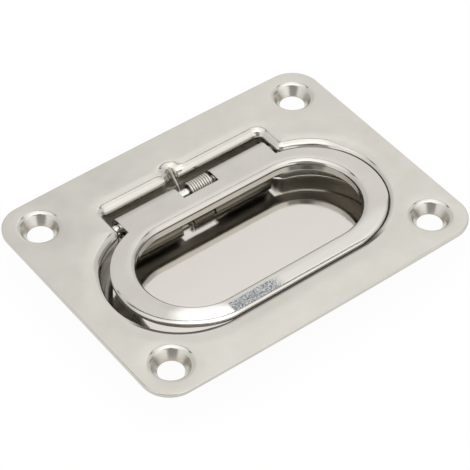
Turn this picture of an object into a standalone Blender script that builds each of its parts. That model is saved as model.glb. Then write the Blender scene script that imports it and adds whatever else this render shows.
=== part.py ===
"""Flush pull latch, pressed from stainless steel sheet.

A mounting plate is drawn down into a pan with round ends and a square pocket at the hinge side. The
pull ring lies in the pan, just under the plate's face. Its hinge edge is rolled round a pin, and a
torsion spring on the pin closes it. One leg of the spring lies in a groove in the pocket's rim.

Metres, +Z up. The origin is under the middle of the plate, on the underside of the pan. +X runs along
the hinge, and +Y points from the finger side to the hinge side.
"""

import math

import bmesh
import bpy
from mathutils import Vector

# Mounting plate
PLATE_LENGTH = 0.0762
PLATE_WIDTH = 0.05715
PLATE_CORNER = 0.006
PLATE_SHEET = 0.001

# Screw holes, pressed down into dimples that take countersunk heads
HOLE_INSET = 0.007
HOLE_RADIUS = 0.0025
DIMPLE_DEPTH = 0.00235
DIMPLE_BEND = 0.0012
DIMPLE_SLOPE = math.radians(58.5)

# Pan: a mouth with two round ends, and a pocket for the hinge. The margins are the rows of flat plate
# in front of it and behind it, and flat metal is left between its rim and the two dimples in front.
PAN_DEPTH = 0.0073
PAN_FRONT_MARGIN = 0.009495
PAN_BACK_MARGIN = 0.010875
PAN_TO_DIMPLE = 0.00166
POCKET_REACH = 0.00638
POCKET_HALF_WIDTH = 0.0192
POCKET_CORNER = 0.0012
NECK_RADIUS = 0.002
RIM_BEND = 0.0018
FLOOR_FILLET = 0.0022
LEAST_RADIUS = 0.0003

# Hinge pin, peened over outside the pocket's side walls
PIN_RADIUS = 0.0011
PIN_CLEARANCE = 0.0001
PIN_HEAD_RADIUS = 0.00145
PIN_HEAD_HEIGHT = 0.0006
PIN_HEAD_DOME = 0.0003
SEAT_GAP = 0.0003

# Pull ring
RING_SHEET = 0.001
RING_SINK = 0.0007
RING_GAP = 0.00035
RING_SLIDE = 0.00098
RING_SHIFT = 0.0009
FLAP_PLAY = 0.00105
FLAP_SHIFT = -0.00065
ROLL_BACK_GAP = 0.0013
ROLL_SWEEP = math.radians(270)
FRONT_BAND = 0.00453
END_BAND = 0.00508
HINGE_BAND = 0.0066
OPENING_SHIFT = 0.00036
LIP_BEND = 0.0011
LIP_DEPTH = 0.0022

# Torsion spring
WIRE_RADIUS = 0.00026
COIL_PITCH = 0.00055
COIL_RADIUS = 0.00185
COIL_START_X = -0.001
COIL_TURNS = 9
REST_LEG_LENGTH = 0.0062
SEAM_LEG_LENGTH = 0.0026
SEAM_LEG_BEND = 0.0004
COIL_SIDE_GAP = 0.0003
COIL_END_GAP = 0.00025
PIN_SHOWING = 0.0027

# Groove in the rim, under the leg of the spring
GROOVE_GAP = 0.00015
GROOVE_REACH = 0.0029
GROOVE_LEFT_SLOPE = 0.00295
GROOVE_RIGHT_SLOPE = 0.0015
GROOVE_SIDE_GAP = 0.0001
FLAT_GUARD = 0.0005

# Facets
CORNER_STEPS = 8
END_STEPS = 20
NECK_STEPS = 5
POCKET_STEPS = 4
DIMPLE_STEPS = 28
DIMPLE_BEND_STEPS = 5
FILLET_STEPS = 5
BEND_STEPS = 7
WALL_STEPS = 4
FLAT_STEPS = 3
GROOVE_LEFT_STEPS = 7
GROOVE_RIGHT_STEPS = 5
ROLL_STEPS = 21
LIP_STEPS = 4
PIN_STEPS = 28
COIL_STEPS = 14
LEG_BEND_STEPS = 3

# Heights and places that follow from the sizes above
QUARTER = math.pi / 2
DIAGONAL = math.pi / 4
PLATE_TOP = PAN_DEPTH + PLATE_SHEET
RING_TOP = PLATE_TOP - RING_SINK
ROLL_INNER = PIN_RADIUS + PIN_CLEARANCE
ROLL_OUTER = ROLL_INNER + RING_SHEET
HOLE_X = PLATE_LENGTH / 2 - HOLE_INSET
HOLE_Y = PLATE_WIDTH / 2 - HOLE_INSET
BEND_RUN = DIMPLE_BEND * math.sin(DIMPLE_SLOPE)
BEND_DROP = DIMPLE_BEND * (1 - math.cos(DIMPLE_SLOPE))
DIMPLE_RIM = HOLE_RADIUS + (DIMPLE_DEPTH - BEND_DROP) / math.tan(DIMPLE_SLOPE) + BEND_RUN
PAN_FRONT = PAN_FRONT_MARGIN - PLATE_WIDTH / 2
POCKET_BACK = PLATE_WIDTH / 2 - PAN_BACK_MARGIN
MOUTH_RADIUS = (POCKET_BACK - POCKET_REACH - PAN_FRONT) / 2
MOUTH_Y = PAN_FRONT + MOUTH_RADIUS
HOLE_TO_MOUTH = DIMPLE_RIM + PAN_TO_DIMPLE + RIM_BEND + MOUTH_RADIUS
MOUTH_HALF_STRAIGHT = HOLE_X - math.sqrt(HOLE_TO_MOUTH**2 - (HOLE_Y + MOUTH_Y) ** 2)
PIN_Y = POCKET_BACK - ROLL_BACK_GAP - ROLL_OUTER
PIN_Z = RING_TOP - ROLL_OUTER
WALL_OUTSIDE = POCKET_HALF_WIDTH + PLATE_SHEET
RING_RADIUS = MOUTH_RADIUS - RING_GAP
RING_HALF_STRAIGHT = MOUTH_HALF_STRAIGHT - RING_SLIDE
FLAP_HALF_WIDTH = POCKET_HALF_WIDTH - FLAP_PLAY
OPENING_FRONT = MOUTH_Y - RING_RADIUS + FRONT_BAND
OPENING_RADIUS = (PIN_Y - HINGE_BAND - OPENING_FRONT) / 2
OPENING_Y = OPENING_FRONT + OPENING_RADIUS
OPENING_HALF_STRAIGHT = RING_HALF_STRAIGHT + RING_RADIUS - END_BAND - OPENING_RADIUS
SEAM_HEIGHT = ROLL_INNER / 2
SEAM_ANGLE = math.pi - math.asin(SEAM_HEIGHT / COIL_RADIUS)
COIL_SWEEP = 2 * math.pi * COIL_TURNS + 2 * math.pi - DIAGONAL - SEAM_ANGLE
COIL_END_X = COIL_START_X + COIL_PITCH * COIL_SWEEP / (2 * math.pi)
NOTCH_LEFT = COIL_START_X - PIN_SHOWING
NOTCH_RIGHT = COIL_END_X + WIRE_RADIUS + COIL_END_GAP
NOTCH_DEPTH = COIL_RADIUS + WIRE_RADIUS + COIL_SIDE_GAP


def arc(centre_x, centre_y, radius, start, end, steps):
    """Points along an arc from one angle to another, with both ends."""
    points = []
    for step in range(steps + 1):
        angle = start + (end - start) * step / steps
        points.append((centre_x + radius * math.cos(angle), centre_y + radius * math.sin(angle)))
    return points


def stadium(centre_x, centre_y, half_straight, radius):
    """Outline of a slot with round ends, anticlockwise from the right end's lowest point."""
    right = arc(centre_x + half_straight, centre_y, radius, -QUARTER, QUARTER, END_STEPS)
    left = arc(centre_x - half_straight, centre_y, radius, QUARTER, 3 * QUARTER, END_STEPS)
    return right + left


def plate_outline():
    """Rectangle with round corners."""
    across = PLATE_LENGTH / 2 - PLATE_CORNER
    along = PLATE_WIDTH / 2 - PLATE_CORNER
    points = []
    for quarter, (side_x, side_y) in enumerate(((1, 1), (-1, 1), (-1, -1), (1, -1))):
        start = quarter * QUARTER
        points += arc(side_x * across, side_y * along, PLATE_CORNER, start, start + QUARTER, CORNER_STEPS)
    return points


def groove_stations():
    """Places along the hinge where the pocket's back wall has points, from right to left."""
    floor_half = WIRE_RADIUS + GROOVE_SIDE_GAP
    right_foot = COIL_START_X + floor_half
    left_foot = COIL_START_X - floor_half
    stations = []
    for step in range(GROOVE_RIGHT_STEPS, -1, -1):
        stations.append(right_foot + GROOVE_RIGHT_SLOPE * step / GROOVE_RIGHT_STEPS)
    for step in range(GROOVE_LEFT_STEPS + 1):
        stations.append(left_foot - GROOVE_LEFT_SLOPE * step / GROOVE_LEFT_STEPS)
    return stations


def pan_outline(spread, groove_spread):
    """Outline of the pan, pushed outward from its upright wall by the spread.

    The round end meets the pocket's side in a neck whose centre lies outside the pan, so the neck gets
    tighter as the outline grows while the pocket's corner gets wider. A pocket narrower than the mouth's
    straight back has its neck there. The stretch with the groove has a spread of its own.
    """
    end_radius = MOUTH_RADIUS + spread
    side = POCKET_HALF_WIDTH + spread
    back = POCKET_BACK + spread
    neck = max(NECK_RADIUS - spread, LEAST_RADIUS)
    corner = max(POCKET_CORNER + spread, LEAST_RADIUS)
    neck_x = side + neck
    neck_run = max(neck_x - MOUTH_HALF_STRAIGHT, 0)
    neck_rise = math.sqrt((end_radius + neck) ** 2 - neck_run**2)
    meeting = math.atan2(neck_rise, neck_run)
    right = arc(MOUTH_HALF_STRAIGHT, MOUTH_Y, end_radius, -QUARTER, meeting, END_STEPS)
    right += arc(neck_x, MOUTH_Y + neck_rise, neck, meeting + math.pi, math.pi, NECK_STEPS)[1:]
    right += arc(side - corner, back - corner, corner, 0, QUARTER, POCKET_STEPS)
    middle = [(x, POCKET_BACK + groove_spread) for x in groove_stations()]
    left = [(-x, y) for x, y in reversed(right)]
    return right + middle + left


def pan_section():
    """Section through the pan's side, from floor to plate, as both spreads and the height.

    The spreads differ only on the flat outside the bend, where the groove needs more room than the rest.
    """
    section = []
    for step in range(FILLET_STEPS + 1):
        angle = QUARTER * step / FILLET_STEPS
        spread = FLOOR_FILLET * (math.sin(angle) - 1)
        section.append((spread, spread, PLATE_SHEET + FLOOR_FILLET * (1 - math.cos(angle))))
    wall_foot = PLATE_SHEET + FLOOR_FILLET
    wall_head = PLATE_TOP - RIM_BEND
    for step in range(1, WALL_STEPS):
        section.append((0, 0, wall_foot + (wall_head - wall_foot) * step / WALL_STEPS))
    for step in range(BEND_STEPS + 1):
        angle = QUARTER * step / BEND_STEPS
        spread = RIM_BEND * (1 - math.cos(angle))
        section.append((spread, spread, wall_head + RIM_BEND * math.sin(angle)))
    flat_reach = GROOVE_REACH - RIM_BEND * DIAGONAL
    for step in range(1, FLAT_STEPS + 1):
        share = step / FLAT_STEPS
        section.append((RIM_BEND + FLAT_GUARD * share, RIM_BEND + flat_reach * share, PLATE_TOP))
    return section


def dimple_section():
    """Section of a screw dimple, from the hole's lip up to the plate, as pairs of radius and height."""
    section = [(HOLE_RADIUS, PLATE_TOP - DIMPLE_DEPTH)]
    for step in range(DIMPLE_BEND_STEPS + 1):
        angle = DIMPLE_SLOPE * (1 - step / DIMPLE_BEND_STEPS)
        radius = DIMPLE_RIM - DIMPLE_BEND * math.sin(angle)
        section.append((radius, PLATE_TOP - DIMPLE_BEND * (1 - math.cos(angle))))
    return section


def groove_depth():
    """How far the rim is pressed in at the middle of its bend, so that the leg lies in it."""
    slant = math.cos(DIAGONAL)
    leg_y = PIN_Y + COIL_RADIUS * slant
    leg_z = PIN_Z - COIL_RADIUS * slant
    bend_y = POCKET_BACK + RIM_BEND * (1 - slant)
    bend_z = PLATE_TOP - RIM_BEND * (1 - slant)
    overlap = slant * (bend_z - leg_z) - slant * (bend_y - leg_y)
    return overlap + WIRE_RADIUS + GROOVE_GAP


def ease(share):
    """Smooth step from 0 to 1, level at both ends."""
    share = min(max(share, 0), 1)
    return share * share * (3 - 2 * share)


def groove_shift(point):
    """Move that presses the groove at one point of the sheet: into the metal, square to its face.

    Across the groove it has a floor as wide as the wire, a long slope on the left and a short one on
    the right. Along the section it follows a half cosine wave centred on the rim's bend.
    """
    aside = point.x - COIL_START_X
    floor_half = WIRE_RADIUS + GROOVE_SIDE_GAP
    slope = GROOVE_RIGHT_SLOPE if aside > 0 else GROOVE_LEFT_SLOPE
    across = ease(1 - (abs(aside) - floor_half) / slope)
    behind = point.y - POCKET_BACK - RIM_BEND
    above = point.z - PLATE_TOP + RIM_BEND
    if behind >= 0:
        angle = QUARTER
        path = RIM_BEND * DIAGONAL + behind
    elif above <= 0:
        angle = 0
        path = above - RIM_BEND * DIAGONAL
    else:
        angle = math.atan2(above, -behind)
        path = RIM_BEND * (angle - DIAGONAL)
    if abs(path) >= GROOVE_REACH or point.y < POCKET_BACK - LEAST_RADIUS:
        return Vector((0, 0, 0))
    along = math.cos(QUARTER * path / GROOVE_REACH)
    return Vector((0, math.cos(angle), -math.sin(angle))) * groove_depth() * across * along


def add_loop(bm, outline, height):
    """Ring of points at one height."""
    return [bm.verts.new((x, y, height)) for x, y in outline]


def add_band(bm, inner, outer):
    """Faces between two loops of as many points, facing up or towards the middle."""
    for here in range(len(inner)):
        there = (here + 1) % len(inner)
        bm.faces.new((inner[here], outer[here], outer[there], inner[there]))


def add_skin(bm, loops):
    """Faces through a row of loops, from the innermost to the outermost."""
    for inner, outer in zip(loops, loops[1:]):
        add_band(bm, inner, outer)


def fill_flat(bm, loops):
    """Level face between an outer loop and the loops inside it."""
    edges = []
    for loop in loops:
        for here in range(len(loop)):
            pair = (loop[here - 1], loop[here])
            edges.append(bm.edges.get(pair) or bm.edges.new(pair))
    filled = bmesh.ops.triangle_fill(bm, edges=edges, use_beauty=True, use_dissolve=False)
    faces = [item for item in filled["geom"] if isinstance(item, bmesh.types.BMFace)]
    for face in faces:
        face.normal_update()
        if face.normal.z < 0:
            face.normal_flip()


def finish_mesh(bm, name):
    """Mesh from a bmesh, which is freed."""
    mesh = bpy.data.meshes.new(name)
    bm.to_mesh(mesh)
    bm.free()
    return mesh


def add_object(name, data, collection, material=None):
    """New object in a collection, with its material."""
    made = bpy.data.objects.new(name, data)
    collection.objects.link(made)
    if material:
        data.materials.append(material)
    return made


def thicken(item, thickness):
    """Give an open surface the thickness of its sheet, on the side away from its faces."""
    sheet = item.modifiers.new("sheet", "SOLIDIFY")
    sheet.thickness = thickness
    sheet.offset = -1
    sheet.use_even_offset = True


def baked_mesh(item):
    """The mesh that an object shows, with its modifiers."""
    seen = item.evaluated_get(bpy.context.evaluated_depsgraph_get())
    return bpy.data.meshes.new_from_object(seen)


def shade(mesh, limit=math.radians(35)):
    """Smooth shading with sharp edges where the faces turn more than the limit."""
    mesh.shade_smooth()
    mesh.set_sharp_from_angle(angle=limit)


def steel(name, colour, roughness):
    """Bare stainless steel of one colour and polish."""
    material = bpy.data.materials.new(name)
    material.use_nodes = True
    shader = material.node_tree.nodes["Principled BSDF"]
    shader.inputs["Base Color"].default_value = (*colour, 1)
    shader.inputs["Metallic"].default_value = 1
    shader.inputs["Roughness"].default_value = roughness
    return material


def make_plate(collection, cutters):
    """Mounting plate: drawn pan, four screw dimples, groove in the rim and holes for the pin."""
    bm = bmesh.new()
    pan_loops = []
    for spread, groove_spread, height in pan_section():
        pan_loops.append(add_loop(bm, pan_outline(spread, groove_spread), height))
    add_skin(bm, pan_loops)
    bm.faces.new(pan_loops[0])
    flat_loops = [add_loop(bm, plate_outline(), PLATE_TOP), pan_loops[-1]]
    for hole_x in (-HOLE_X, HOLE_X):
        for hole_y in (-HOLE_Y, HOLE_Y):
            loops = []
            for radius, height in dimple_section():
                circle = arc(hole_x, hole_y, radius, 0, 2 * math.pi, DIMPLE_STEPS)[:-1]
                loops.append(add_loop(bm, circle, height))
            add_skin(bm, loops)
            flat_loops.append(loops[-1])
    fill_flat(bm, flat_loops)
    draft = add_object("plate_draft", finish_mesh(bm, "plate_draft"), cutters)
    thicken(draft, PLATE_SHEET)
    mesh = baked_mesh(draft)
    bpy.data.objects.remove(draft)
    for vertex in mesh.vertices:
        vertex.co += groove_shift(vertex.co)
    plate = add_object("recessed_plate", mesh, collection, steel("plate_steel", (0.66, 0.64, 0.6), 0.28))

    bpy.ops.mesh.primitive_cylinder_add(
        vertices=PIN_STEPS,
        radius=ROLL_INNER,
        depth=2 * (WALL_OUTSIDE + PLATE_SHEET),
        location=(0, PIN_Y, PIN_Z),
        rotation=(0, QUARTER, 0),
    )
    drill = bpy.context.object
    drill.name = "pin_drill"
    for home in list(drill.users_collection):
        home.objects.unlink(drill)
    cutters.objects.link(drill)
    drill.hide_render = True
    drill.display_type = "WIRE"
    holes = plate.modifiers.new("pin_holes", "BOOLEAN")
    holes.operation = "DIFFERENCE"
    holes.solver = "EXACT"
    holes.object = drill
    shade(mesh)


def ring_half(flap_reach):
    """Right half of the ring's outline, from its front up to the flap's side, with the pin at y = 0.

    A flap that reaches past the straight stretch leaves the round end before its quarter turn.
    """
    middle_y = MOUTH_Y - PIN_Y
    past_straight = max(flap_reach - RING_HALF_STRAIGHT, 0)
    turn = math.acos(past_straight / RING_RADIUS)
    points = arc(RING_HALF_STRAIGHT, middle_y, RING_RADIUS, -QUARTER, turn, END_STEPS)
    if past_straight == 0:
        points.append((flap_reach, middle_y + RING_RADIUS))
    points.append((flap_reach, 0))
    return points


def ring_outline():
    """Outline of the pull ring about the pin: a stadium with a flap that reaches the hinge."""
    notch_right = NOTCH_RIGHT - RING_SHIFT
    notch_left = NOTCH_LEFT - RING_SHIFT
    notch = [(notch_right, 0), (notch_right, -NOTCH_DEPTH), (notch_left, -NOTCH_DEPTH), (notch_left, 0)]
    left = [(-x, y) for x, y in reversed(ring_half(FLAP_HALF_WIDTH - FLAP_SHIFT))]
    return ring_half(FLAP_HALF_WIDTH + FLAP_SHIFT) + notch + left


def lip_section():
    """Section of the lip turned down round the opening, as pairs of spread and height."""
    foot = ROLL_OUTER - LIP_DEPTH
    section = [(0, foot)]
    for step in range(LIP_STEPS + 1):
        angle = QUARTER * step / LIP_STEPS
        spread = LIP_BEND * (1 - math.cos(angle))
        section.append((spread, ROLL_OUTER - LIP_BEND * (1 - math.sin(angle))))
    return section


def make_ring(collection):
    """Pull ring: one sheet with a lipped opening, and its hinge edge rolled down round the pin."""
    bm = bmesh.new()
    outline = ring_outline()
    edge_loop = add_loop(bm, outline, ROLL_OUTER)
    lip_loops = []
    for spread, height in lip_section():
        opening = stadium(OPENING_SHIFT, OPENING_Y - PIN_Y, OPENING_HALF_STRAIGHT, OPENING_RADIUS + spread)
        lip_loops.append(add_loop(bm, opening, height))
    add_skin(bm, lip_loops)
    fill_flat(bm, [edge_loop, lip_loops[-1]])
    flat_faces = set(bm.faces)
    hinge_edges = []
    for edge in bm.edges:
        if edge.is_boundary and all(vertex.co.y == 0 for vertex in edge.verts):
            hinge_edges.append(edge)
    bmesh.ops.spin(
        bm,
        geom=hinge_edges,
        cent=(0, 0, 0),
        axis=(-1, 0, 0),
        angle=ROLL_SWEEP,
        steps=ROLL_STEPS,
        use_duplicate=False,
    )
    for face in bm.faces:
        if face not in flat_faces:
            face.normal_update()
            outward = face.calc_center_median() * Vector((0, 1, 1))
            if face.normal.dot(outward) < 0:
                face.normal_flip()
    mesh = finish_mesh(bm, "pull_ring")
    ring = add_object("pull_ring", mesh, collection, steel("ring_steel", (0.7, 0.68, 0.64), 0.16))
    ring.location = (RING_SHIFT, PIN_Y, PIN_Z)
    thicken(ring, RING_SHEET)
    shade(mesh)


def make_pin(collection):
    """Hinge pin: a turned rod with a low domed head peened over at each end."""
    face = WALL_OUTSIDE + SEAT_GAP
    tip = face + PIN_HEAD_HEIGHT
    half = [(0, tip), (PIN_RADIUS, tip - PIN_HEAD_DOME / 3), (PIN_HEAD_RADIUS, tip - PIN_HEAD_DOME)]
    half += [(PIN_HEAD_RADIUS, face), (PIN_RADIUS, face)]
    profile = half + [(radius, -height) for radius, height in reversed(half)]
    bm = bmesh.new()
    points = [bm.verts.new((radius, 0, height)) for radius, height in profile]
    for above, below in zip(points, points[1:]):
        bm.edges.new((above, below))
    mesh = finish_mesh(bm, "hinge_pin")
    pin = add_object("hinge_pin", mesh, collection, steel("pin_steel", (0.74, 0.73, 0.7), 0.12))
    pin.location = (0, PIN_Y, PIN_Z)
    pin.rotation_euler = (0, QUARTER, 0)
    turning = pin.modifiers.new("turning", "SCREW")
    turning.steps = PIN_STEPS
    turning.render_steps = PIN_STEPS
    turning.use_merge_vertices = True
    turning.merge_threshold = 0.00001
    shade(mesh)


def spring_path():
    """Middle of the spring's wire about the pin, from the tip in the groove to the tip in the seam.

    The leg in the groove leaves the coil at its lower back and rises at 45 degrees. The coil winds
    down and forward from there, to the right. Its other end turns along the hinge, into the seam
    between the flap and the end of its roll.
    """
    slant = math.cos(DIAGONAL)
    start_y = (COIL_RADIUS + REST_LEG_LENGTH) * slant
    start_z = (REST_LEG_LENGTH - COIL_RADIUS) * slant
    path = [(COIL_START_X, start_y, start_z)]
    count = round(COIL_STEPS * COIL_SWEEP / (2 * math.pi))
    bend_share = SEAM_LEG_BEND / COIL_RADIUS / COIL_SWEEP
    for step in range(count + 1):
        share = step / count * (1 - bend_share)
        angle = -DIAGONAL - COIL_SWEEP * share
        along = COIL_START_X + (COIL_END_X - COIL_START_X) * share
        path.append((along, COIL_RADIUS * math.cos(angle), COIL_RADIUS * math.sin(angle)))
    for step in range(1, LEG_BEND_STEPS + 1):
        turn = QUARTER * step / LEG_BEND_STEPS
        angle = SEAM_ANGLE + SEAM_LEG_BEND / COIL_RADIUS * (1 - math.sin(turn))
        along = path[count + 1][0] + SEAM_LEG_BEND * (1 - math.cos(turn))
        path.append((along, COIL_RADIUS * math.cos(angle), COIL_RADIUS * math.sin(angle)))
    last = path[-1]
    path.append((last[0] + SEAM_LEG_LENGTH, last[1], last[2]))
    return path


def make_spring(collection):
    """Torsion spring, wound from round wire."""
    curve = bpy.data.curves.new("torsion_spring", "CURVE")
    curve.dimensions = "3D"
    curve.bevel_depth = WIRE_RADIUS
    curve.bevel_resolution = 2
    curve.use_fill_caps = True
    path = spring_path()
    spline = curve.splines.new("POLY")
    spline.points.add(len(path) - 1)
    for point, place in zip(spline.points, path):
        point.co = (*place, 1)
    spring = add_object("torsion_spring", curve, collection, steel("spring_steel", (0.62, 0.61, 0.58), 0.22))
    spring.location = (0, PIN_Y, PIN_Z)


def main():
    for item in list(bpy.data.objects):
        bpy.data.objects.remove(item)
    parts = bpy.data.collections.new("flush_pull_latch")
    cutters = bpy.data.collections.new("cutters")
    bpy.context.scene.collection.children.link(parts)
    bpy.context.scene.collection.children.link(cutters)
    make_plate(parts, cutters)
    make_ring(parts)
    make_pin(parts)
    make_spring(parts)


main()
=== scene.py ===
"""Looks of a flush pull latch, pressed from stainless steel sheet.

Four pieces: the drawn mounting plate, the pull ring rolled round its pin, the pin, and the torsion
spring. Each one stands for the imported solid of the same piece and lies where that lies. Metres, +Z up.
"""

import math

import bmesh
import bpy
import numpy as np
from mathutils import Matrix, Vector
from mathutils.geometry import delaunay_2d_cdt


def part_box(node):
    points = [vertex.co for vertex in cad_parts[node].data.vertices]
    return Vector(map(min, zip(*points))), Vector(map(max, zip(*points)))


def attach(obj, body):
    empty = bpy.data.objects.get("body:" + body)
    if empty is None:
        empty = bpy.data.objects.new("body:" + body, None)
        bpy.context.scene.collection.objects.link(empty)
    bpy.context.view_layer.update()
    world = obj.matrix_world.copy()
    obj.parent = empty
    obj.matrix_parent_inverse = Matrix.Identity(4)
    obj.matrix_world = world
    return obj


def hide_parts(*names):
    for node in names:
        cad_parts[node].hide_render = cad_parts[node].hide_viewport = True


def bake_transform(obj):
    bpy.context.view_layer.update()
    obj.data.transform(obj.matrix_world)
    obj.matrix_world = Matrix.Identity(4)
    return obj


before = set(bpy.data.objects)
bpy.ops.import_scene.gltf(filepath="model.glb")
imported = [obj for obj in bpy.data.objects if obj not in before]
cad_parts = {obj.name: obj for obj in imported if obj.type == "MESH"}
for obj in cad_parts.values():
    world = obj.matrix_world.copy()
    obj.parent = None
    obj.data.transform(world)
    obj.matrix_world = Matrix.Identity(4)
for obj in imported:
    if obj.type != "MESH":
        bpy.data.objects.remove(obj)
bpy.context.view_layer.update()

scene = bpy.context.scene
scene.view_settings.view_transform = "Standard"

# Camera
# It looks down at the plate's face from the finger side, a little from the left, through a long lens.
# The shift puts the plate where the photograph has it.
CAMERA_AZIMUTH = math.radians(-37.22)
CAMERA_ELEVATION = math.radians(45.55)
CAMERA_DISTANCE = 0.390
CAMERA_LENS = 154.4
CAMERA_SHIFT = (-0.00123, -0.0298)
CAMERA_NEAR = 0.01

plate_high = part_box("recessed_plate")[1]
toward_camera = Vector((
    math.sin(CAMERA_AZIMUTH) * math.cos(CAMERA_ELEVATION),
    -math.cos(CAMERA_AZIMUTH) * math.cos(CAMERA_ELEVATION),
    math.sin(CAMERA_ELEVATION),
))
camera = bpy.data.objects.new("camera", bpy.data.cameras.new("camera"))
camera.data.lens = CAMERA_LENS
camera.data.shift_x, camera.data.shift_y = CAMERA_SHIFT
camera.data.clip_start = CAMERA_NEAR
camera.location = Vector((0, 0, plate_high.z)) + toward_camera * CAMERA_DISTANCE
camera.rotation_mode = "QUATERNION"
camera.rotation_quaternion = (-toward_camera).to_track_quat("-Z", "Y")
scene.collection.objects.link(camera)
scene.camera = camera

# Mounting plate
# One blank of 1 mm stainless sheet. The pan is drawn down in it with a tighter rim round both ends,
# the four screw dimples are pressed trumpet shaped, and the rim has a pressed groove where the leg of
# the spring lies. A thin dark line of painted shade lies along the near rim's bend, for the gap's shade.
# Where a name holds two limits, something fades from none at the first to all at the second.
SHEET = 0.001
PLATE_CORNER = 0.006
PLATE_EDGE = 0.0002
EDGE_BOW = 0.0003
HOLE_INSET = 0.007
HOLE_RADIUS = 0.0025
DIMPLE_DEPTH = 0.00235
DIMPLE_BEND = 0.0012
DIMPLE_SLOPE = math.radians(58.5)
HOLE_EDGE = 0.00012
PAN_FRONT_MARGIN = 0.009495
PAN_BACK_MARGIN = 0.010875
PAN_TO_DIMPLE = 0.00166
POCKET_REACH = 0.00638
POCKET_HALF_WIDTH = 0.0192
POCKET_CORNER = 0.0012
NECK_RADIUS = 0.002
RIM_BEND = 0.0018
FLOOR_FILLET = 0.0022
LEAST_RADIUS = 0.0003
FLAT_GUARD = 0.0005
LEAST_GUARD = 0.00006
LEAST_FLAT = 0.00024
TIGHT_RIGHT = 0.0011
TIGHT_LEFT = 0.0007
TIGHT_FROM = (-0.75, -0.45)
TIGHT_TO = (1.65, 1.25)
RIM_SAG = 0.0001
RIM_SAG_REACH = (0.0019, -0.0006)
DIMPLE_SAG = 0.00006
DIMPLE_SAG_REACH = (0.0018, -0.0008)
SHADE_LINE_REACH = (0.00125, 0.001)
SHADE_LINE_DEPTH = 0.0009
SHADE_LINE_NEAR = (0.006, 0.01)
SHADE_LINE_SLANT = 0.12
SHADE_LINE_SLANT_START = -0.016
SHADE_LINE_RIGHT_END = (0.023, 0.018)
GROOVE_REACH = 0.0029
GROOVE_LEFT_SLOPE = ((0, 1), (0.0019, 0.06), (0.0025, 0))
GROOVE_RIGHT_SLOPE = ((0, 1), (0.00065, 0.34), (0.0017, 0))
GROOVE_FLOOR = 0.00036
GROOVE_GAP = 0.00015
COIL_X = -0.001
LEG_X = -0.0016
LEG_WIRE = 0.00026
COIL_RADIUS = 0.00185
PIN_RADIUS = 0.0011
PIN_CLEARANCE = 0.0001
PLATE_COLOUR = (0.583, 0.56, 0.514)
PAN_COLOUR = (0.62, 0.59, 0.55, 1)
SHADE_LINE_COLOUR = (0.06, 0.05, 0.045, 1)
SHADE_LINE_ROUGHNESS = 0.6
WALL_BELOW_TOP = (0.0012, 0.0022)
WALL_FOOT = (0.00102, 0.0013)
WALL_ROUGHNESS = 0.3
FLOOR_HEIGHT = (0.0012, 0.00101)
FLOOR_ROUGHNESS = 0.085
DIMPLE_ALONG = (0.0245, 0.0255)
DIMPLE_ACROSS = (0.016, 0.017)
DIMPLE_BELOW_TOP = (0.0003, 0.0009)
DIMPLE_ROUGHNESS = 0.24
CLOUD_LIMITS = (0.3, 0.7)
POLISH_SPREAD = 0.25
CLOUD_SCALE = 160
SPECK_SCALE = 2600
RIPPLE_SCALE = 300
RIPPLE_HEIGHT = 0.000012
FLAT_SPACING = 0.0009
STRAIGHT_SPACING = 0.001
LATTICE_CLEARANCE = 0.6
FILL_SCALE = 1000
FILL_TOLERANCE = 1e-7
LEAST_SQUARE = 1e-18
WELD = 1e-6
SLIVER = 1e-7
SHARP_ANGLE = math.radians(40)
EDGE_STEPS = 4
BEND_STEPS = 14
CORNER_STEPS = 16
ROUND_END_STEPS = 60
NECK_STEPS = 10
POCKET_CORNER_STEPS = 12
POCKET_WALL_STEPS = 6
POCKET_BACK_POINTS = (18, 60, 16)
HOLE_STEPS = 64
DRILL_STEPS = 48
FLOOR_ROWS = 15
WALL_ROWS = 7
FLAT_ROWS = 8

QUARTER = math.pi / 2
DIAGONAL = math.pi / 4
plate_top = plate_high.z
half_length = plate_high.x
half_width = plate_high.y
pin_low, pin_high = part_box("hinge_pin")
hinge_y = (pin_low.y + pin_high.y) / 2
hinge_z = (pin_low.z + pin_high.z) / 2
hole_x = half_length - HOLE_INSET
hole_y = half_width - HOLE_INSET
pocket_back = half_width - PAN_BACK_MARGIN
pan_front = PAN_FRONT_MARGIN - half_width
mouth_radius = (pocket_back - POCKET_REACH - pan_front) / 2
mouth_y = pan_front + mouth_radius
cone_drop = DIMPLE_DEPTH - DIMPLE_BEND * (1 - math.cos(DIMPLE_SLOPE))
dimple_rim = HOLE_RADIUS + cone_drop / math.tan(DIMPLE_SLOPE) + DIMPLE_BEND * math.sin(DIMPLE_SLOPE)
hole_to_mouth = dimple_rim + PAN_TO_DIMPLE + RIM_BEND + mouth_radius
mouth_half_straight = hole_x - math.sqrt(hole_to_mouth**2 - (hole_y + mouth_y) ** 2)


def arc(centre, radius, start, end, steps):
    """Points on an arc: the centre plus the radius times the cosine and sine of evenly spaced angles."""
    angles = np.linspace(start, end, steps + 1)
    return np.column_stack((centre[0] + radius * np.cos(angles), centre[1] + radius * np.sin(angles)))


def line(start, end, spacing):
    """Points evenly spaced on a straight line, at about the given spacing, with both ends."""
    start, end = np.array(start, float), np.array(end, float)
    steps = max(1, round(np.linalg.norm(end - start) / spacing))
    return start + (end - start) * np.linspace(0, 1, steps + 1)[:, None]


def mirrored(points):
    """The points reflected across x = 0 and taken in the opposite order, so that they still run on."""
    return points[::-1] * (-1, 1)


def carried(outline, section):
    """Skin of a profile carried round an outline, as a grid of points.

    Row i is the outline pushed out by the spread of pair i, at the height of pair i. A section of
    triples gives the groove's stretch a spread of its own.
    """
    rows = []
    for pair in section:
        loop = outline(*pair[:-1])
        rows.append(np.column_stack((loop, np.full(len(loop), pair[-1]))))
    return np.stack(rows)


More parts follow.
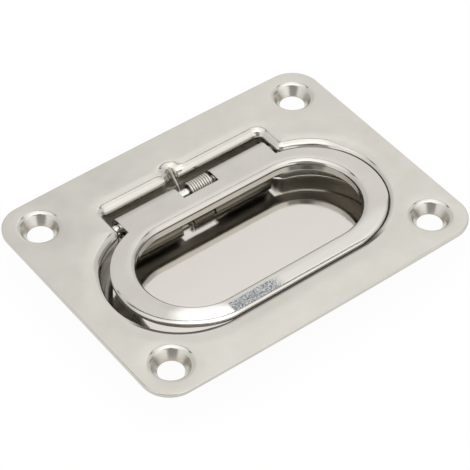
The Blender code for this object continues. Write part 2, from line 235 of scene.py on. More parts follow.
def grid_faces(rows, columns):
    """Quads of a grid of points, numbered row by row. Each row's end is joined to its start."""
    here = np.arange(columns)
    there = (here + 1) % columns
    step = np.arange(rows - 1)[:, None] * columns
    quads = np.stack((step + here, step + there, step + columns + there, step + columns + here), axis=-1)
    return quads.reshape(-1, 4)


def inside(points, loop):
    """Whether each point lies in a closed loop, by counting the loop's edges that its ray to +X meets."""
    start, end = loop, np.roll(loop, -1, axis=0)
    y = points[:, 1:2]
    crosses = (start[:, 1] > y) != (end[:, 1] > y)
    rise = np.where(end[:, 1] == start[:, 1], 1, end[:, 1] - start[:, 1])
    meeting = start[:, 0] + (y - start[:, 1]) / rise * (end[:, 0] - start[:, 0])
    return (crosses & (points[:, 0:1] < meeting)).sum(axis=1) % 2 == 1


def nearest(points, loop):
    """Distance from each point to the closest edge of a closed loop."""
    start = loop[None]
    along = np.roll(loop, -1, axis=0)[None] - start
    offset = points[:, None] - start
    share = np.clip((offset * along).sum(-1) / np.maximum((along**2).sum(-1), LEAST_SQUARE), 0, 1)
    return np.linalg.norm(offset - share[..., None] * along, axis=-1).min(axis=1)


def level(outer, holes, spacing):
    """Level sheet between an outer loop and the holes in it, as flat points and triangles.

    A lattice of points fills it, kept off the loops, so that the sheet can be bent or dished later.
    The triangles are found in millimetres, which the tolerance suits.
    """
    low, high = outer.min(axis=0), outer.max(axis=0)
    counts = np.ceil((high - low) / spacing).astype(int) + 1
    columns = np.linspace(low[0], high[0], counts[0])
    rows = np.linspace(low[1], high[1], counts[1])
    across, along = np.meshgrid(columns, rows)
    lattice = np.column_stack((across.ravel(), along.ravel()))
    clearance = np.min(spacing) * LATTICE_CLEARANCE
    keep = inside(lattice, outer) & (nearest(lattice, outer) > clearance)
    for hole in holes:
        keep &= ~inside(lattice, hole) & (nearest(lattice, hole) > clearance)
    points = [lattice[keep]]
    edges = []
    count = len(points[0])
    for loop in (outer, *holes):
        here = np.arange(len(loop))
        edges.append(count + np.column_stack((here, (here + 1) % len(loop))))
        points.append(loop)
        count += len(loop)
    flat = [Vector(point) for point in np.concatenate(points) * FILL_SCALE]
    found = delaunay_2d_cdt(flat, np.concatenate(edges).tolist(), [], 0, FILL_TOLERANCE)
    placed = np.array([(point.x, point.y) for point in found[0]]) / FILL_SCALE
    triangles = np.array(found[2])
    middles = placed[triangles].mean(axis=1)
    keep = inside(middles, outer)
    for hole in holes:
        keep &= ~inside(middles, hole)
    return placed, triangles[keep]


def smooth_mesh(name, shells):
    """Mesh from shells of points and faces, welded where they meet, facing out and shaded smooth."""
    bm = bmesh.new()
    for points, faces in shells:
        part = bpy.data.meshes.new("shell")
        part.from_pydata(points.reshape(-1, 3), [], faces.tolist())
        bm.from_mesh(part)
        bpy.data.meshes.remove(part)
    bmesh.ops.remove_doubles(bm, verts=bm.verts, dist=WELD)
    bmesh.ops.dissolve_degenerate(bm, edges=bm.edges, dist=SLIVER)
    bmesh.ops.recalc_face_normals(bm, faces=bm.faces)
    mesh = bpy.data.meshes.new(name)
    bm.to_mesh(mesh)
    bm.free()
    mesh.shade_smooth()
    mesh.set_sharp_from_angle(angle=SHARP_ANGLE)
    return mesh


def vertex_vectors(mesh, kind):
    """One vector of each vertex of a mesh, its place (co) or its normal, as rows of an array."""
    values = np.empty(len(mesh.vertices) * 3)
    mesh.vertices.foreach_get(kind, values)
    return values.reshape(-1, 3)


def keep_share(mesh, name, share):
    """Keep a share from 0 to 1 for each vertex, as an attribute that the material reads."""
    mesh.attributes.new(name, "FLOAT", "POINT").data.foreach_set("value", share)


def at_height(sheet, height):
    """A level sheet's points and triangles, raised to a height."""
    placed, triangles = sheet
    return np.column_stack((placed, np.full(len(placed), height))), triangles


def cut_edge(corner, inward, across, radii):
    """Section round a cut edge of the sheet, from one face over to the other, both corners rounded.

    The corner is the sharp one on the first face, inward points along that face into the sheet, and
    across points through it. A point more on either face keeps the flat beside the edge flat.
    """
    corner, inward, across = np.array(corner), np.array(inward), np.array(across)
    turn = np.linspace(0, QUARTER, EDGE_STEPS + 1)[:, None]
    near, far = radii
    first = corner + near * (inward * (1 - np.sin(turn)) + across * (1 - np.cos(turn)))
    last = corner + across * SHEET + far * (inward * (1 - np.cos(turn)) - across * (1 - np.sin(turn)))
    before = first[:1] + inward * LEAST_GUARD
    after = last[-1:] + inward * LEAST_GUARD
    return np.concatenate((before, first, last, after))


def plate_outline(inset):
    """Rectangle with round corners, drawn in by the inset."""
    radius = PLATE_CORNER - inset
    corners = []
    for turn, (side_x, side_y) in enumerate(((1, 1), (-1, 1), (-1, -1), (1, -1))):
        centre = (side_x * (half_length - PLATE_CORNER), side_y * (half_width - PLATE_CORNER))
        corners.append(arc(centre, radius, turn * QUARTER, (turn + 1) * QUARTER, CORNER_STEPS))
    loop = []
    for here, there in zip(corners, corners[1:] + corners[:1]):
        loop += [here, line(here[-1], there[0], FLAT_SPACING)[1:-1]]
    return np.concatenate(loop)


def pan_outline(spread, groove_spread):
    """Outline of the pan, pushed out from its upright wall: two round ends, a neck and a square pocket.

    The neck's centre lies outside the pan, so it tightens as the outline grows.
    """
    side = POCKET_HALF_WIDTH + spread
    back = pocket_back + spread
    neck = max(NECK_RADIUS - spread, LEAST_RADIUS)
    corner = max(POCKET_CORNER + spread, LEAST_RADIUS)
    end_radius = mouth_radius + spread
    run = side + neck - mouth_half_straight
    rise = math.sqrt((end_radius + neck) ** 2 - run**2)
    meeting = math.atan2(rise, run)
    front = line((0, mouth_y - end_radius), (mouth_half_straight, mouth_y - end_radius), STRAIGHT_SPACING)
    end = arc((mouth_half_straight, mouth_y), end_radius, -QUARTER, meeting, ROUND_END_STEPS)
    turn_in = arc((side + neck, mouth_y + rise), neck, meeting + math.pi, math.pi, NECK_STEPS)
    turn_out = arc((side - corner, back - corner), corner, 0, QUARTER, POCKET_CORNER_STEPS)
    wall = np.linspace(turn_in[-1], turn_out[0], POCKET_WALL_STEPS + 1)[1:-1]
    right = np.concatenate((front[:-1], end, turn_in[1:], wall, turn_out))
    groove_right = LEG_X + GROOVE_FLOOR + GROOVE_RIGHT_SLOPE[-1][0]
    groove_left = LEG_X - GROOVE_FLOOR - GROOVE_LEFT_SLOPE[-1][0]
    corner_x = POCKET_HALF_WIDTH - POCKET_CORNER
    right_points, groove_points, left_points = POCKET_BACK_POINTS
    stations = np.concatenate((
        np.linspace(corner_x, groove_right, right_points)[1:],
        np.linspace(groove_right, groove_left, groove_points)[1:],
        np.linspace(groove_left, -corner_x, left_points)[1:-1],
    ))
    middle = np.column_stack((stations, np.full(len(stations), pocket_back + groove_spread)))
    return np.concatenate((right, middle, mirrored(right[1:])))


def bend_section(foot, top, radius, turn, offset=0.0):
    """Section of a rim bend, from its lower end up to the flat, as spread and height.

    The centre is level with the foot's spread plus the radius; the offset moves inward into the metal.
    """
    angles = np.linspace(turn, 0, BEND_STEPS + 1)
    spread = foot + radius * np.sin(turn) - (radius - offset) * np.sin(angles)
    return np.column_stack((spread, top - radius + (radius - offset) * np.cos(angles)))


def pan_section(depth_in_metal):
    """Section of one face of the pan, from the floor's edge to the plate, as both spreads and height.

    The face lies a given depth in the metal below the visible one: floor fillet, upright wall, rim
    bend, and flat. On the flat the groove's stretch spreads further than the rest.
    """
    fillet = np.linspace(0, QUARTER, FLOOR_ROWS)
    fillet_radius = FLOOR_FILLET + depth_in_metal
    floor_part = np.column_stack((
        fillet_radius * np.sin(fillet) - FLOOR_FILLET,
        SHEET + FLOOR_FILLET - fillet_radius * np.cos(fillet),
    ))
    rim_part = bend_section(0, plate_top, RIM_BEND, QUARTER, depth_in_metal)
    wall_part = np.linspace(floor_part[-1], rim_part[0], WALL_ROWS + 2)[1:-1]
    pairs = np.concatenate((floor_part, wall_part, rim_part))
    share = np.linspace(0, 1, FLAT_ROWS + 1)[1:]
    flat_reach = GROOVE_REACH - RIM_BEND * DIAGONAL
    flat_part = np.column_stack((
        RIM_BEND + FLAT_GUARD * share,
        RIM_BEND + flat_reach * share,
        np.full(len(share), plate_top - depth_in_metal),
    ))
    return np.concatenate((np.column_stack((pairs[:, 0], pairs[:, 0], pairs[:, 1])), flat_part))


def smooth_step(value, start, end):
    """Share that goes from 0 at the start to 1 at the end, level at both: three squares less two cubes."""
    share = np.clip((value - start) / (end - start), 0, 1)
    return share * share * (3 - 2 * share)


def tightened(skin):
    """Visible skin of the pan with its rim bent tighter round both ends than at the hinge.

    A point of the bend at angle a moves inward by the tightening times one less sine a, and up by it
    times one less cosine a. The flat beside the bend follows, and the wall stretches. The tightening
    fades in and out by the angle round the end, counted from its tip toward the near side.
    """
    lower_rows = FLOOR_ROWS + WALL_ROWS
    bend_rows = BEND_STEPS + 1
    x, y = skin[FLOOR_ROWS, :, 0], skin[FLOOR_ROWS, :, 1]
    beyond = np.abs(x) - mouth_half_straight
    straight = np.sign(mouth_y - y) * QUARTER
    turn = np.where(beyond > 0, np.arctan2(mouth_y - y, beyond), straight)
    most = np.where(x > 0, TIGHT_RIGHT, TIGHT_LEFT)
    amount = most * smooth_step(turn, *TIGHT_FROM) * smooth_step(turn, *TIGHT_TO)
    bend = np.concatenate((np.linspace(QUARTER, 0, bend_rows), np.zeros(FLAT_ROWS)))
    inward = 1 - np.sin(np.concatenate((np.full(lower_rows, QUARTER), bend)))
    stretch = np.linspace(0, 1, WALL_ROWS + 2)[1:-1]
    raised = np.concatenate((np.zeros(FLOOR_ROWS), stretch, 1 - np.cos(bend)))
    outward = skin[-1, :, :2] - skin[-FLAT_ROWS, :, :2]
    outward /= np.linalg.norm(outward, axis=1)[:, None]
    skin[:, :, :2] -= (inward[:, None] * amount)[..., None] * outward
    skin[:, :, 2] += raised[:, None] * amount
    return skin


def dimple_section():
    """Section of a dimple, from the plate's face down its cone, round the hole's edge and back."""
    over = bend_section(0, plate_top, DIMPLE_BEND, DIMPLE_SLOPE)[::-1]
    under = bend_section(0, plate_top, DIMPLE_BEND, DIMPLE_SLOPE, SHEET)
    away = dimple_rim - DIMPLE_BEND * math.sin(DIMPLE_SLOPE)
    over[:, 0] += away
    under[:, 0] += away
    lip = cut_edge(
        (HOLE_RADIUS, plate_top - DIMPLE_DEPTH),
        (math.cos(DIMPLE_SLOPE), math.sin(DIMPLE_SLOPE)),
        (math.sin(DIMPLE_SLOPE), -math.cos(DIMPLE_SLOPE)),
        (HOLE_EDGE, HOLE_EDGE),
    )
    reach = dimple_rim + LEAST_FLAT
    return np.concatenate(([(reach, plate_top)], over, lip, under, [(reach, plate_top - SHEET)]))


def press_groove(points):
    """Press the spring's groove in the rim: each point moves into the metal, square to its face.

    Across the groove the depth has a flat floor, a long slope on the left, and on the right a steep one
    with an easier shoulder above it.
    Along the section it is a half cosine wave, centred on the rim's bend.
    """
    slant = math.cos(DIAGONAL)
    leg_y = hinge_y + COIL_RADIUS * slant
    leg_z = hinge_z - COIL_RADIUS * slant
    bend_y = pocket_back + RIM_BEND * (1 - slant)
    bend_z = plate_top - RIM_BEND * (1 - slant)
    depth = slant * (bend_z - leg_z) - slant * (bend_y - leg_y) + LEG_WIRE + GROOVE_GAP
    aside = points[:, 0] - LEG_X
    up_slope = np.abs(aside) - GROOVE_FLOOR
    across = np.where(
        aside > 0,
        np.interp(up_slope, *zip(*GROOVE_RIGHT_SLOPE)),
        np.interp(up_slope, *zip(*GROOVE_LEFT_SLOPE)),
    )
    behind = points[:, 1] - pocket_back - RIM_BEND
    above = points[:, 2] - plate_top + RIM_BEND
    angle = np.where(behind >= 0, QUARTER, np.where(above <= 0, 0, np.arctan2(above, -behind)))
    path = RIM_BEND * (angle - DIAGONAL) + np.maximum(behind, 0) + np.minimum(above, 0)
    inner = (np.abs(path) < GROOVE_REACH) & (points[:, 1] > pocket_back - LEAST_RADIUS)
    along = np.where(inner, np.cos(QUARTER * np.clip(path / GROOVE_REACH, -1, 1)), 0)
    move = depth * across * along
    points[:, 1] += move * np.cos(angle)
    points[:, 2] -= move * np.sin(angle)


def slacken(points):
    """Small unevenness of pressed sheet: the face sags a little toward the rim of the pan and toward
    the dimples, and the plate's long edges bow out in the middle.

    Each sag is a smooth step of the distance from the rim, and fades out down the pan's wall.
    """
    rim = pan_outline(RIM_BEND, RIM_BEND)
    away = nearest(points[:, :2], rim) * np.where(inside(points[:, :2], rim), -1, 1)
    wall_foot = SHEET + FLOOR_FILLET
    held = smooth_step(points[:, 2], wall_foot, plate_top - RIM_BEND)
    sag = RIM_SAG * smooth_step(away, *RIM_SAG_REACH) * held
    for hole in dimple_centres:
        away = np.linalg.norm(points[:, :2] - hole, axis=1) - dimple_rim
        sag += DIMPLE_SAG * smooth_step(away, *DIMPLE_SAG_REACH)
    points[:, 2] -= sag
    beyond = smooth_step(np.abs(points[:, 1]), hole_y, half_width)
    points[:, 1] += np.sign(points[:, 1]) * EDGE_BOW * beyond * (1 - (points[:, 0] / half_length) ** 2)


def shader_node(tree, kind, inputs=None, output=0, **settings):
    """New node of one kind in a tree; its inputs are values or sockets, and one output is returned."""
    made = tree.nodes.new(kind)
    for name, value in settings.items():
        setattr(made, name, value)
    for key, value in (inputs or {}).items():
        if isinstance(value, bpy.types.NodeSocket):
            tree.links.new(value, made.inputs[key])
        else:
            made.inputs[key].default_value = value
    return made.outputs[output]


def bare_steel(name, colour, polish, mottle, grain):
    """Soft polished stainless steel: faint cloudy colour and polish, fine grain and slow ripples.

    The mottle is the share by which the colour's brightness wanders, and the grain the height in
    metres of the fine scratches.
    """
    material = bpy.data.materials.new(name)
    material.use_nodes = True
    tree = material.node_tree
    shader = tree.nodes["Principled BSDF"]
    place = shader_node(tree, "ShaderNodeTexCoord", output=3)
    cloud = shader_node(tree, "ShaderNodeTexNoise", {"Vector": place, "Scale": CLOUD_SCALE, "Detail": 4})
    speck = shader_node(tree, "ShaderNodeTexNoise", {"Vector": place, "Scale": SPECK_SCALE, "Detail": 2})
    dark = tuple(channel * (1 - mottle) for channel in colour)
    light = tuple(min(1, channel * (1 + mottle)) for channel in colour)
    shade = shader_node(
        tree,
        "ShaderNodeMix",
        {"Factor": cloud, "A": (*dark, 1), "B": (*light, 1)},
        output=2,
        data_type="RGBA",
    )
    tree.links.new(shade, shader.inputs["Base Color"])
    shader.inputs["Metallic"].default_value = 1
    limits = {
        "From Min": CLOUD_LIMITS[0],
        "From Max": CLOUD_LIMITS[1],
        "To Min": polish * (1 - POLISH_SPREAD),
        "To Max": polish * (1 + POLISH_SPREAD),
    }
    rough = shader_node(tree, "ShaderNodeMapRange", {"Value": cloud, **limits})
    tree.links.new(rough, shader.inputs["Roughness"])
    ripple = shader_node(tree, "ShaderNodeTexNoise", {"Vector": place, "Scale": RIPPLE_SCALE, "Detail": 1})
    slow = shader_node(tree, "ShaderNodeBump", {"Height": ripple, "Distance": RIPPLE_HEIGHT, "Strength": 1.0})
    fine = shader_node(
        tree,
        "ShaderNodeBump",
        {"Height": speck, "Distance": grain, "Strength": 1.0, "Normal": slow},
    )
    tree.links.new(fine, shader.inputs["Normal"])
    return material


def measure(tree, place, axis, away=False):
    """Node for one measure of a place: 0 along the hinge, 1 across the plate, 2 up, or its size alone."""
    found = shader_node(tree, "ShaderNodeSeparateXYZ", {"Vector": place}, output=axis)
    return shader_node(tree, "ShaderNodeMath", {0: found}, operation="ABSOLUTE") if away else found


def faded(tree, value, start, end):
    """Node for a smooth step of a value, 0 before the start and 1 after the end."""
    return shader_node(
        tree,
        "ShaderNodeMapRange",
        {"Value": value, "From Min": start, "From Max": end},
        interpolation_type="SMOOTHSTEP",
    )


def product(tree, *shares):
    """Node for the product of several shares."""
    made = shares[0]
    for share in shares[1:]:
        made = shader_node(tree, "ShaderNodeMath", {0: made, 1: share}, operation="MULTIPLY")
    return made


def blended(material, socket, share, value):
    """Blend one input of the material's shader toward a value by a share, over what feeds it now."""
    tree = material.node_tree
    entry = tree.nodes["Principled BSDF"].inputs[socket]
    kind, output = ("RGBA", 2) if socket == "Base Color" else ("FLOAT", 0)
    before = entry.links[0].from_socket if entry.links else entry.default_value
    inputs = {"Factor": share, "A": before, "B": value}
    tree.links.new(shader_node(tree, "ShaderNodeMix", inputs, output, data_type=kind), entry)


def new_piece(name, mesh, material):
    """Object in the scene for a finished mesh."""
    mesh.materials.append(material)
    piece = bpy.data.objects.new(name, mesh)
    scene.collection.objects.link(piece)
    return piece


plate_edge = cut_edge((0, plate_top), (1, 0), (0, -1), (PLATE_EDGE, PLATE_EDGE))
rim_skin = carried(plate_outline, plate_edge)
shells = [(rim_skin.reshape(-1, 3), grid_faces(len(plate_edge), rim_skin.shape[1]))]
dimples = {0: [], SHEET: []}
dimple_centres = [(side * hole_x, end * hole_y) for side in (-1, 1) for end in (-1, 1)]
for centre in dimple_centres:
    skin = carried(lambda radius: arc(centre, radius, 0, 2 * math.pi, HOLE_STEPS)[:-1], dimple_section())
    shells.append((skin.reshape(-1, 3), grid_faces(len(skin), skin.shape[1])))
    dimples[0].append(skin[0, :, :2])
    dimples[SHEET].append(skin[-1, :, :2])
for depth in (0, SHEET):
    skin = carried(pan_outline, pan_section(depth))
    if depth == 0:
        skin = tightened(skin)
    shells.append((skin.reshape(-1, 3), grid_faces(len(skin), skin.shape[1])))
    floor = level(skin[0, :, :2], [], FLAT_SPACING)
    shells.append(at_height(floor, SHEET - depth))
    rim_loop = rim_skin[0 if depth == 0 else -1, :, :2]
    flange = level(rim_loop, [skin[-1, :, :2], *dimples[depth]], FLAT_SPACING)
    shells.append(at_height(flange, plate_top - depth))
plate_mesh = smooth_mesh("drawn_plate", shells)
points = vertex_vectors(plate_mesh, "co")
press_groove(points)
slacken(points)
plate_mesh.vertices.foreach_set("co", points.ravel())
plate_mesh.update()

# The painted shade line lies on the rim's bend, along the near side and round the left end: a dark
# line painted where the gap beside the rim is in shade.
flat = points[:, :2]
rim_painted_shade = smooth_step(nearest(flat, pan_outline(0, 0)), *SHADE_LINE_REACH)
rim_painted_shade *= inside(flat, pan_outline(RIM_BEND, RIM_BEND)) & (points[:, 2] > plate_top - SHADE_LINE_DEPTH)
rim_painted_shade *= smooth_step(SHADE_LINE_SLANT * np.minimum(flat[:, 0] - SHADE_LINE_SLANT_START, 0) - flat[:, 1], *SHADE_LINE_NEAR)
rim_painted_shade *= smooth_step(flat[:, 0], *SHADE_LINE_RIGHT_END)
keep_share(plate_mesh, "rim_painted_shade", rim_painted_shade)

plate_steel = bare_steel("plate_steel_finish", PLATE_COLOUR, polish=0.13, mottle=0.1, grain=0.0000004)
tree = plate_steel.node_tree
place = shader_node(tree, "ShaderNodeTexCoord", output=3)
height = measure(tree, place, 2)
in_dimple = product(
    tree,
    faded(tree, measure(tree, place, 0, away=True), *DIMPLE_ALONG),
    faded(tree, measure(tree, place, 1, away=True), *DIMPLE_ACROSS),
    faded(tree, height, *(plate_top - np.array(DIMPLE_BELOW_TOP))),
)
on_floor = faded(tree, height, *FLOOR_HEIGHT)
in_pan = faded(tree, height, plate_top - RIM_BEND, SHEET + FLOOR_FILLET)
below_rim = faded(tree, height, *(plate_top - np.array(WALL_BELOW_TOP)))
on_wall = product(tree, below_rim, faded(tree, height, *WALL_FOOT))
rim_shade = shader_node(tree, "ShaderNodeAttribute", output=2, attribute_name="rim_painted_shade")
blended(plate_steel, "Base Color", in_pan, PAN_COLOUR)
blended(plate_steel, "Roughness", on_wall, WALL_ROUGHNESS)
blended(plate_steel, "Roughness", on_floor, FLOOR_ROUGHNESS)
blended(plate_steel, "Roughness", in_dimple, DIMPLE_ROUGHNESS)
# Painted shade: the rim line gets a dark, dull, non-metallic colour that stands in for the gap's shade.
blended(plate_steel, "Base Color", rim_shade, SHADE_LINE_COLOUR)
blended(plate_steel, "Metallic", rim_shade, 0.0)
blended(plate_steel, "Roughness", rim_shade, SHADE_LINE_ROUGHNESS)
plate = new_piece("drawn_plate", plate_mesh, plate_steel)

# The pin's holes are drilled through the pocket's two side walls.
drill_mesh = bpy.data.meshes.new("pin_drill")
bm = bmesh.new()
bmesh.ops.create_cone(bm, cap_ends=True, segments=DRILL_STEPS, radius1=1, radius2=1, depth=1)
bm.to_mesh(drill_mesh)
bm.free()
drill = bpy.data.objects.new("pin_drill", drill_mesh)
pin_hole = PIN_RADIUS + PIN_CLEARANCE
drill.scale = (pin_hole, pin_hole, 2 * POCKET_HALF_WIDTH + 4 * SHEET)
drill.rotation_euler = (0, QUARTER, 0)
drill.location = (0, hinge_y, hinge_z)
scene.collection.objects.link(drill)
cut = plate.modifiers.new("pin_holes", "BOOLEAN")
cut.object = drill
bpy.context.view_layer.update()
drilled = bpy.data.meshes.new_from_object(plate.evaluated_get(bpy.context.evaluated_depsgraph_get()))
plate.modifiers.clear()
plate.data = drilled
bpy.data.objects.remove(drill)
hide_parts("recessed_plate")
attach(plate, "plate")

# Pull ring
# One blank of 1 mm stainless sheet. The opening's lip is turned down, and the hinge edge is rolled
# round the pin in two lengths, with a notch between them for the spring. Its near band is worn soft
# along the edge and scuffed.
RING_SINK = 0.0007
RING_GAP = 0.00018
RING_SLIDE = 0.00098
RING_SHIFT = 0.0009
FLAP_PLAY = 0.00105
FLAP_SHIFT = -0.00065
ROLL_SWEEP = math.radians(270)
FRONT_BAND = 0.0047
END_BAND = 0.00525
HINGE_BAND = 0.0066
OPENING_SHIFT = 0.00036
LIP_BEND = 0.0011
LIP_DEPTH = 0.00236
BAND_EDGE = 0.00045
BURR_EDGE = 0.0001
BAND_SAG = 0.00018
BAND_SAG_REACH = 0.00115
BAND_SAG_ROWS = 8
NEAR_LINE = (-0.0055, -0.008)
NEAR_SLANT = 0.21
DRIFT_ANGLES = np.radians((-50, -30, 0, 15, 30, 45, 60, 75, 90))
LEFT_DRIFT = np.array((0, 0.05, 0.15, 0.25, 0.38, 0.58, 0.58, 0.3, 0)) / 1000
RIGHT_DRIFT = np.array((0, -0.13, -0.13, -0.13, -0.13, -0.04, 0.08, 0.1, 0)) / 1000
FLAP_EDGE = 0.00015
FLAP_TO_BAND = (-0.0006, -0.0016)
LIP_SAG = 0.00005
LIP_SAG_REACH = (0.0009, -0.0005)
NOTCH_LEFT = -0.0037
NOTCH_RIGHT = 0.0047
NOTCH_DEPTH = 0.00241
FROST_HIGHLIGHT_PLACE = (-0.0188, -0.0151, 0.0076)
FROST_HIGHLIGHT_SIZE = (0.0066, 0.0030, 0.01)
FROST_HIGHLIGHT_TURN = math.radians(-31)
FROST_HIGHLIGHT_LIMITS = (1.15, 0.55)
SCUFF_PLACE = (-0.0078, -0.0169, 0.0076)
SCUFF_SIZE = (0.006, 0.0012, 0.01)
SCUFF_ENDS = ((-1.04, -0.96), (1.1, 0.5))
SCUFF_SIDES = ((-1.1, -0.95), (1.1, 0.95))
SCUFF_ROUGHNESS = 0.3
PIT_SCALE = 4000
PIT_LIMITS = (0.4, 0.6)
SHEAR_SHADE_DEPTH = (-0.00025, -0.00045)
SHEAR_SHADE_FAINT = 0.12
SHEAR_SHADE_LEFT_END = (-0.019, -0.015)
SHEAR_SHADE_ROUGHNESS = 0.4
SHADED_UNDERSIDE_TILT = (-0.3, -0.7)
SHADED_UNDERSIDE_ROUGHNESS = 0.3
BAND_ACROSS = (-0.0125, -0.0155)
RING_COLOUR = (0.55, 0.527, 0.487)
BAND_COLOUR = (0.63, 0.613, 0.57, 1)
FROST_HIGHLIGHT_COLOUR = (0.93, 0.91, 0.88, 1)
PIT_COLOUR = (0.17, 0.18, 0.19, 1)
SCUFF_COLOUR = (0.56, 0.57, 0.57, 1)
SHEAR_SHADE_COLOUR = (0.2, 0.18, 0.16, 1)
UNDERSIDE_SHADE_COLOUR = (0.43, 0.42, 0.385, 1)
OPENING_STEPS = 72
ROLL_STEP_ANGLE = math.radians(4.5)
SIDE_SPACING = 0.0006
TAB_SPACING = 0.0007
NOTCH_SIDE_SPACING = 0.0004
NOTCH_FLOOR_SPACING = 0.0005
FACE_SPACING = 0.0007

ring_top = plate_top - RING_SINK
roll_outer = ring_top - hinge_z
roll_step = roll_outer * ROLL_STEP_ANGLE
ring_radius = mouth_radius - RING_GAP
ring_half_straight = mouth_half_straight - RING_SLIDE
flap_half_width = POCKET_HALF_WIDTH - FLAP_PLAY
opening_front = mouth_y - ring_radius + FRONT_BAND
opening_radius = (hinge_y - HINGE_BAND - opening_front) / 2
opening_y = opening_front + opening_radius
opening_half_straight = ring_half_straight + ring_radius - END_BAND - opening_radius


def inset_loop(loop, inset):
    """Closed anticlockwise loop drawn in by the inset: each point moves along the mean of its two
    edges' inward normals, stretched so that both edges shift by the inset."""
    along = np.roll(loop, -1, axis=0) - loop
    along /= np.linalg.norm(along, axis=1)[:, None]
    normal = np.column_stack((-along[:, 1], along[:, 0]))
    before = np.roll(normal, 1, axis=0)
    both = normal + before
    return loop + inset * both / (1 + (normal * before).sum(axis=1))[:, None]


def ring_side(reach):
    """Right half of the ring's blank, from its front round to the end of the tab, with the pin at y = 0."""
    middle = mouth_y - hinge_y
    turn = math.acos((reach - ring_half_straight) / ring_radius)
    front = line((0, middle - ring_radius), (ring_half_straight, middle - ring_radius), STRAIGHT_SPACING)
    end = arc((ring_half_straight, middle), ring_radius, -QUARTER, turn, ROUND_END_STEPS)
    side = line(end[-1], (reach, 0), SIDE_SPACING)
    tab = line((reach, 0), (reach, roll_outer * ROLL_SWEEP), roll_step)
    return np.concatenate((front[:-1], end, side[1:], tab[1:]))


tab_end = roll_outer * ROLL_SWEEP
notch_right = NOTCH_RIGHT - RING_SHIFT
notch_left = NOTCH_LEFT - RING_SHIFT
right_side = ring_side(flap_half_width + FLAP_SHIFT)
left_side = mirrored(ring_side(flap_half_width - FLAP_SHIFT))
notch = np.concatenate((
    line(right_side[-1], (notch_right, tab_end), TAB_SPACING)[1:],
    line((notch_right, tab_end), (notch_right, 0), roll_step)[1:],
    line((notch_right, 0), (notch_right, -NOTCH_DEPTH), NOTCH_SIDE_SPACING)[1:],
    line((notch_right, -NOTCH_DEPTH), (notch_left, -NOTCH_DEPTH), NOTCH_FLOOR_SPACING)[1:],
    line((notch_left, -NOTCH_DEPTH), (notch_left, 0), NOTCH_SIDE_SPACING)[1:],
    line((notch_left, 0), (notch_left, tab_end), roll_step)[1:],
    line((notch_left, tab_end), left_side[0], TAB_SPACING)[1:],
))
blank = np.concatenate((right_side, notch, left_side[1:-1]))

# The real ring's ends aren't quite round: each point is drawn toward its end's centre by its angle
# round that end, counted from the tip toward the near side.
for side, drift in ((-1, LEFT_DRIFT), (1, RIGHT_DRIFT)):
    from_end = blank - (side * ring_half_straight, mouth_y - hinge_y)
    turn = np.arctan2(-from_end[:, 1], side * from_end[:, 0])
    pull = np.where(side * from_end[:, 0] > 0, np.interp(turn, DRIFT_ANGLES, drift, 0, 0), 0) / ring_radius
    blank -= pull[:, None] * from_end


def opening_outline(spread):
    """Slot with round ends, pushed out by the spread."""
    radius = opening_radius + spread
    middle = opening_y - hinge_y
    right = arc((OPENING_SHIFT + opening_half_straight, middle), radius, -QUARTER, QUARTER, OPENING_STEPS)
    left = arc((OPENING_SHIFT - opening_half_straight, middle), radius, QUARTER, 3 * QUARTER, OPENING_STEPS)
    back = line(right[-1], left[0], STRAIGHT_SPACING)[1:-1]
    front = line(left[-1], right[0], STRAIGHT_SPACING)[1:-1]
    return np.concatenate((right, back, left, front))


def lip_section():
    """Section of the opening's lip, from the ring's face over the bend, round its cut edge and back."""
    over = bend_section(0, 0, LIP_BEND, QUARTER)[::-1]
    under = bend_section(0, 0, LIP_BEND, QUARTER, SHEET)
    foot = cut_edge((0, -LIP_DEPTH), (0, 1), (1, 0), (FLAP_EDGE, FLAP_EDGE))
    reach = LIP_BEND + LEAST_FLAT
    return np.concatenate(([(reach, 0)], over, foot, under, [(reach, -SHEET)]))


def eased(points):
    """The blank with its face sagging a little toward the lip, by a smooth step of the distance."""
    rim = opening_outline(LIP_BEND)
    away = nearest(points[:, :2], rim) * np.where(inside(points[:, :2], rim), -1, 1)
    return points - np.outer(LIP_SAG * smooth_step(away, *LIP_SAG_REACH), (0, 0, 1))


def rolled(points):
    """Roll the blank's tabs round the pin: what lies past y = 0 goes round it at its own height.

    A point at distance s along the blank and h above the outer face lands at angle s over the roll's
    radius, at the radius plus h. What lies before y = 0 stays flat.
    """
    x, run, height = points.T
    angle = np.maximum(run, 0) / roll_outer
    reach = roll_outer + height
    return np.column_stack((x, np.minimum(run, 0) + reach * np.sin(angle), reach * np.cos(angle)))


def on_near_side(points):
    """Share by which a place lies on the near side of a slanting line across the ring."""
    return smooth_step(points[:, 1] + NEAR_SLANT * points[:, 0], *NEAR_LINE)


on_band = smooth_step(blank[:, 1] + NOTCH_DEPTH, *FLAP_TO_BAND)
on_band *= on_near_side(blank + (RING_SHIFT, hinge_y))
on_band = on_band[:, None]

